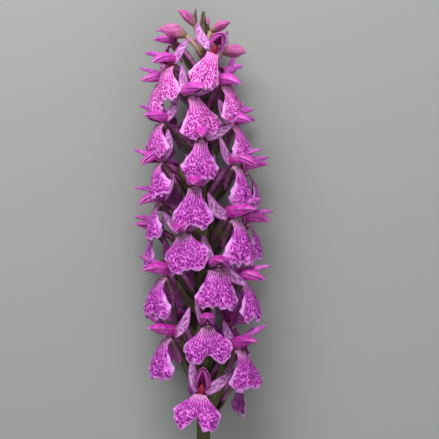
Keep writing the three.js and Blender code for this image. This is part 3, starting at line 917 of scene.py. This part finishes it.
def profile_body(start, end, radii, sides, rings, bulge=(0, 0, 0), **shape):
    """A round body from start to end, its radius following the list and its line bowed by bulge."""
    t = np.linspace(0, 1, rings)[:, None]
    bow = np.sin(math.pi * t) * np.array(bulge, float)
    centres = np.array(start, float) * (1 - t) + np.array(end, float) * t + bow
    fine = np.interp(t[:, 0], np.linspace(0, 1, len(radii)), radii)
    fine = np.convolve(np.pad(fine, 1, mode="edge"), (0.25, 0.5, 0.25), mode="valid")
    fine[0], fine[-1] = radii[0], radii[-1]
    return round_skin(centres, fine, sides, **shape)


# Materials of a hood's piece, in order: its front, its back, the mouth and the column.
MOUTH_MATERIAL = 2
COLUMN_MATERIAL = 3


def throat():
    """The mouth of the spur, a flat ring of flesh under the hood."""
    return profile_body(
        start=(0, 0.2, -1.2), end=(0, 0.1, 0.6), radii=(0.5, 1.0, 1.05, 0.85, 0.4),
        sides=14, rings=8, flatten=0.7, material=MOUTH_MATERIAL)


def column(name):
    """The column over the mouth, swollen where it shows crimson."""
    if name in RED_THROATS:
        return profile_body(
            start=(0, 0.6, -0.6), end=(0, 3.0, 0.3), radii=(0.5, 0.95, 0.9, 0.7, 0.3),
            sides=14, rings=10, material=COLUMN_MATERIAL)
    return profile_body(
        start=(0, 1.2, -1.0), end=(0, 1.5, 0.8), radii=(0.4, 0.5, 0.5, 0.46, 0.2),
        sides=12, rings=8, material=COLUMN_MATERIAL)


def spur(chance):
    """The blunt sack that hangs behind the lip."""
    sway = chance.uniform(-0.6, 0.6)
    return profile_body(
        start=(0, 0.1, -0.7), end=(sway, -5.8, -3.8), radii=(1.05, 1.0, 0.8, 0.7, 0.6, 0.35),
        sides=14, rings=14, bulge=(0, -0.3, -0.6))


def bezier(a, b, c, count):
    """Points on a curve from a to c that is pulled towards b."""
    t = np.linspace(0, 1, count)[:, None]
    return (1 - t) ** 2 * a + 2 * t * (1 - t) * b + t ** 2 * c


OVARY_RINGS = 20
OVARY_SIDES = 18
OVARY_PLACES = (0, 0.1, 0.5, 0.9, 1)
OVARY_PROFILE = (0.6, 0.72, 0.88, 0.82, 0.75)
OVARY_RIB_DEPTH = 0.09
OVARY_TWIST = 3.2


def ovary(start, end, size, material=0):
    """The twisted, ribbed stalk that carries a flower."""
    rise = (end[1] - start[1]) / 2
    knee = (start + end) / 2 + np.array((0, rise / 2, 0))
    centres = bezier(start, knee, end, OVARY_RINGS)
    radii = size * np.interp(np.linspace(0, 1, OVARY_RINGS), OVARY_PLACES, OVARY_PROFILE)
    return round_skin(
        centres, radii, OVARY_SIDES, material, ribs=6, rib_depth=OVARY_RIB_DEPTH, rib_twist=OVARY_TWIST)


BRACT_ROWS, BRACT_COLUMNS = 20, 9
BRACT_EDGE = 0.06       # half width that it keeps at its tip
BRACT_THICKNESS = 0.26
BRACT_FOLD = 0.9        # how far its edges stand behind its midrib
BRACT_ARCH = 0.05       # as a share of its length
BRACT_WAVE = 0.12
BRACT_OVERLAP = 0.1     # depth of its base in the stem


def bract(height, angle, length, width, lean, chance):
    """A lance-shaped leaf, keeled along its midrib, that leaves the stem and curves outwards."""
    v = np.linspace(0, 1, BRACT_ROWS)[:, None]
    u = np.linspace(-1, 1, BRACT_COLUMNS)[None, :]
    outline = np.sin(math.pi * (0.2 + 0.79 * v ** 0.9)) ** 0.9
    half_width = width / 2 * outline + BRACT_EDGE
    curl = chance.uniform(-2.6, -0.4)
    twist = chance.uniform(-0.5, 0.5) * v ** 2
    x = u * half_width
    y = v * length
    z = BRACT_ARCH * length * np.sin(math.pi * v) + curl * v ** 3
    z = z - BRACT_FOLD * np.abs(u) ** 1.5 * half_width / (width / 2)
    z = z + BRACT_WAVE * np.sin(9 * v + 3 * u)
    places = (x * np.cos(twist), y, z + x * np.sin(twist))
    margin = np.minimum((1 - np.abs(u)) * half_width, (1 - v) * length)
    skin = blade(places, x, y, margin, BRACT_THICKNESS, front=0, back=0)
    base = beside_stem(height, angle, stem_radius(height / STEM_LENGTH) - BRACT_OVERLAP)
    return skin.moved(lambda p: turned(p, turn("X", lean), turn("Y", angle)) + base)


# ---------------------------------------------------------------- the whole spike

STEM_RINGS = 60
STEM_SIDES = 28
STEM_RIBS = 9
STEM_RIB_DEPTH = 0.035
STEM_TWIST = 1.2

OVARY_NECK = (0, 0.9, -1.6)     # where it meets the flower
OVARY_DEPTH = 0.8               # of its foot in the stem, as a share of the stem's radius

BUD_RINGS = 22
BUD_SIDES = 18
BUD_PLACES = (0, 0.08, 0.2, 0.4, 0.58, 0.75, 0.9, 1)
BUD_PROFILE = (0.3, 0.6, 0.86, 1.0, 0.92, 0.6, 0.3, 0.12)
BUD_HOOK = 34
BUD_KNEE = 0.7                  # from its foot, as a share of its length
BUD_TIP = 0.4                   # from its knee, as such a share
BUD_OVERLAP = 0.5               # millimetres that it reaches back into its stalk
BUD_RIB_DEPTH = 0.1
BUD_TWIST = 0.6
BUD_STALK_SIZE = 0.72
BUD_STALK_DEPTH = 0.7

FLOWER_BRACT_LENGTH = 10.5      # at the tip of the spike
FLOWER_BRACT_GROWTH = 2         # how much longer it is at the foot
FLOWER_BRACT_WIDTH = 4.2
FLOWER_BRACT_DROP = 0.8         # below the flower's axil
FLOWER_BRACT_LEANS = (38, 48)
FLOWER_BRACT_OFFSETS = (6, 16)  # degrees to one side of the flower


def flower_place(height, angle, reach, face, size, roll, nod):
    """A function that takes points from a flower's own space to the spike's."""
    throat_at = beside_stem(height, angle, reach)
    turns = (turn("Z", roll), turn("X", nod), turn("Y", face))
    return lambda points: turned(np.asarray(points, float) * size, *turns) + throat_at


def sepal_poses(name, face, chance):
    """Poses of the left and right lateral sepal."""
    if name in SEPALS:
        return SEPALS[name]
    poses = (FAR_SEPAL, NEAR_SEPAL) if face < 0 else (NEAR_SEPAL, FAR_SEPAL)
    if abs(face) > BACK_FACE:
        poses = (BACK_SEPAL, BACK_SEPAL)
    return [[value + chance.uniform(-6, 6) for value in pose] for pose in poses]


def make_flower(name, numbers, index):
    """The four pieces of an open flower: lip, hood with throat and column, sepals, stalk with spur."""
    chance = draws(FLOWER_DRAWS, index)
    height, angle, reach, face, size, share, roll, nod = numbers
    place = flower_place(height, angle, reach, face, size, roll, nod)
    seed = index * PATTERN_STEP
    node = f"flower_{name}"
    make_piece(f"lip_{name}", [lip(name, share, chance).moved(place)], ("lip", "back"), node, seed)
    hood_skins = [skin.moved(place) for skin in (*hood(name, chance), throat(), column(name))]
    mouth = ("red_throat", "red_throat") if name in RED_THROATS else ("throat", "column")
    make_piece(f"hood_{name}", hood_skins, ("hood", "hood", *mouth), node, seed)
    left, right = sepal_poses(name, face, chance)
    sepals = [
        lateral_sepal(-1, *left, chance).moved(place),
        lateral_sepal(1, *right, chance).moved(place),
    ]
    make_piece(f"sepals_{name}", sepals, ("sepal", "back"), node, seed)
    foot = axil(height - OVARY_DROP, angle, OVARY_DEPTH)
    stalk = [ovary(foot, place([OVARY_NECK])[0], size), spur(chance).moved(place)]
    make_piece(f"stalk_{name}", stalk, ("stalk",), node, seed)


def make_bud(name, numbers, index):
    """A closed bud, hooked at its tip, on its stalk."""
    height, angle, stalk_length, stalk_lean, length, width, lean = numbers
    up = np.array((0.0, 1.0, 0.0))
    foot = axil(height, angle, BUD_STALK_DEPTH)
    neck = foot + turned(up * stalk_length, turn("X", stalk_lean), turn("Y", angle))
    away = turned(up, turn("X", lean), turn("Y", angle))
    hooked = turned(up, turn("X", lean + BUD_HOOK), turn("Y", angle))
    knee = neck + away * length * BUD_KNEE
    centres = bezier(neck - away * BUD_OVERLAP, knee, knee + hooked * length * BUD_TIP, BUD_RINGS)
    radii = width / 2 * np.interp(np.linspace(0, 1, BUD_RINGS), BUD_PLACES, BUD_PROFILE)
    body = round_skin(centres, radii, BUD_SIDES, ribs=3, rib_depth=BUD_RIB_DEPTH, rib_twist=BUD_TWIST)
    stalk = ovary(foot, neck, BUD_STALK_SIZE, material=1)
    seed = BUD_PATTERNS + index * PATTERN_STEP
    make_piece(f"bud_body_{name}", [body, stalk], ("bud", "bud_stalk"), f"bud_{name}", seed)


def make_large_bracts():
    """The bracts that have a CAD node of their own."""
    for index, (name, numbers) in enumerate(BRACTS.items()):
        skin = bract(*numbers, draws(LARGE_BRACT_DRAWS, index))
        seed = LARGE_BRACT_PATTERNS + index
        make_piece(f"bract_leaf_{name}", [skin], ("bract",), f"bract_{name}", seed)


def make_flower_bracts():
    """One bract under each flower, a little to one side of it."""
    for index, (name, numbers) in enumerate(FLOWERS.items()):
        chance = draws(FLOWER_BRACT_DRAWS, index)
        height, angle = numbers[:2]
        length = FLOWER_BRACT_LENGTH + FLOWER_BRACT_GROWTH * (1 - height / STEM_LENGTH)
        offset = chance.choice((-1, 1)) * chance.uniform(*FLOWER_BRACT_OFFSETS)
        base_height = height - OVARY_DROP - FLOWER_BRACT_DROP
        lean = chance.uniform(*FLOWER_BRACT_LEANS)
        skin = bract(base_height, angle + offset, length, FLOWER_BRACT_WIDTH, lean, chance)
        seed = FLOWER_BRACT_PATTERNS + index
        make_piece(f"bract_of_{name}", [skin], ("bract",), seed=seed)


def make_tip_bracts():
    """Slender dark bracts standing up between the buds."""
    for index, numbers in enumerate(TIP_BRACTS):
        skin = bract(*numbers, draws(TIP_BRACT_DRAWS, index))
        make_piece(f"tip_bract_{index}", [skin], ("bract",), seed=TIP_BRACT_PATTERNS + index)


def make_stem():
    """The ribbed stem, cut at a slant."""
    along = np.linspace(0, 1, STEM_RINGS)
    centres = np.outer(along * STEM_LENGTH, (0, 1, 0))
    skin = round_skin(
        centres, stem_radius(along), STEM_SIDES,
        ribs=STEM_RIBS, rib_depth=STEM_RIB_DEPTH, rib_twist=STEM_TWIST)
    cut = skin.points[:, 1] < STEM_LENGTH / STEM_RINGS / 2
    skin.points[cut, 1] += STEM_CUT_SLANT * skin.points[cut, 2] / STEM_RADIUS
    make_piece("stem_skin", [skin], ("stem",), "stem")


def make_spike():
    make_stem()
    for index, (name, numbers) in enumerate(FLOWERS.items()):
        make_flower(name, numbers, index)
    for index, (name, numbers) in enumerate(BUDS.items()):
        make_bud(name, numbers, index)
    make_large_bracts()
    make_flower_bracts()
    make_tip_bracts()


# ---------------------------------------------------------------- floor, light and camera

VIEW_CENTRE_HEIGHT = 74.9   # up the stem from its cut end
VIEW_CENTRE_SIDE = 4.1
VIEW_WIDTH = 109.8          # width of the view at the height of the front petals
VIEW_PLANE = 22
CAMERA_DISTANCE = 700
SENSOR = 36

FLOOR_REACH = 3.0           # metres from its middle to its edge
FLOOR_COLOUR = "929491"
WORLD_COLOUR = (0.8, 0.82, 0.85, 1)
WORLD_STRENGTH = 0.34

# Round lamps that point at the middle of the floor: place and diameter in metres, and power in watts.
LAMPS = {
    "key": ((-0.08, 0.3, 0.24), 0.3, 2.1),
    "fill": ((0.25, 0.1, 0.8), 0.8, 1.2),
    "foot": ((0.2, -0.4, 0.35), 0.5, 0.9),
}


def make_floor():
    """A plain matt surface under the spike."""
    mesh = bpy.data.meshes.new("floor")
    corners = [(x * FLOOR_REACH, y * FLOOR_REACH, 0) for x, y in ((-1, -1), (1, -1), (1, 1), (-1, 1))]
    mesh.from_pydata(corners, [], [(0, 1, 2, 3)])
    material = bpy.data.materials.new("floor")
    material.use_nodes = True
    shader = material.node_tree.nodes["Principled BSDF"]
    shader.inputs["Base Color"].default_value = colour(FLOOR_COLOUR)
    shader.inputs["Roughness"].default_value = 0.9
    shader.inputs["Specular IOR Level"].default_value = 0.1
    mesh.materials.append(material)
    floor = bpy.data.objects.new("floor", mesh)
    bpy.context.scene.collection.objects.link(floor)


def make_lamp(name, place, size, power):
    """A round lamp, not seen by the camera itself."""
    data = bpy.data.lights.new(name, "AREA")
    data.shape = "DISK"
    data.size = size
    data.energy = power
    lamp = bpy.data.objects.new(name, data)
    lamp.location = place
    lamp.rotation_euler = (-Vector(place)).to_track_quat("-Z", "Y").to_euler()
    lamp.visible_camera = False
    bpy.context.scene.collection.objects.link(lamp)


def make_world():
    """Soft light from all sides."""
    world = bpy.data.worlds.new("world")
    world.use_nodes = True
    background = world.node_tree.nodes["Background"]
    background.inputs["Color"].default_value = WORLD_COLOUR
    background.inputs["Strength"].default_value = WORLD_STRENGTH
    bpy.context.scene.world = world


def make_camera():
    """A long lens looking straight down, so that the spike hardly narrows in the picture."""
    data = bpy.data.cameras.new("camera")
    data.sensor_width = SENSOR
    data.lens = SENSOR * CAMERA_DISTANCE / VIEW_WIDTH
    camera = bpy.data.objects.new("camera", data)
    target = to_frame(np.array((VIEW_CENTRE_SIDE, VIEW_CENTRE_HEIGHT, 0.0)))
    camera.location = (target[0], target[1], (VIEW_PLANE + CAMERA_DISTANCE) * MM)
    bpy.context.scene.collection.objects.link(camera)
    bpy.context.scene.camera = camera


def make_stage():
    make_floor()
    for name, numbers in LAMPS.items():
        make_lamp(name, *numbers)
    make_world()
    make_camera()
    bpy.context.scene.view_settings.view_transform = "Standard"


make_spike()
make_stage()
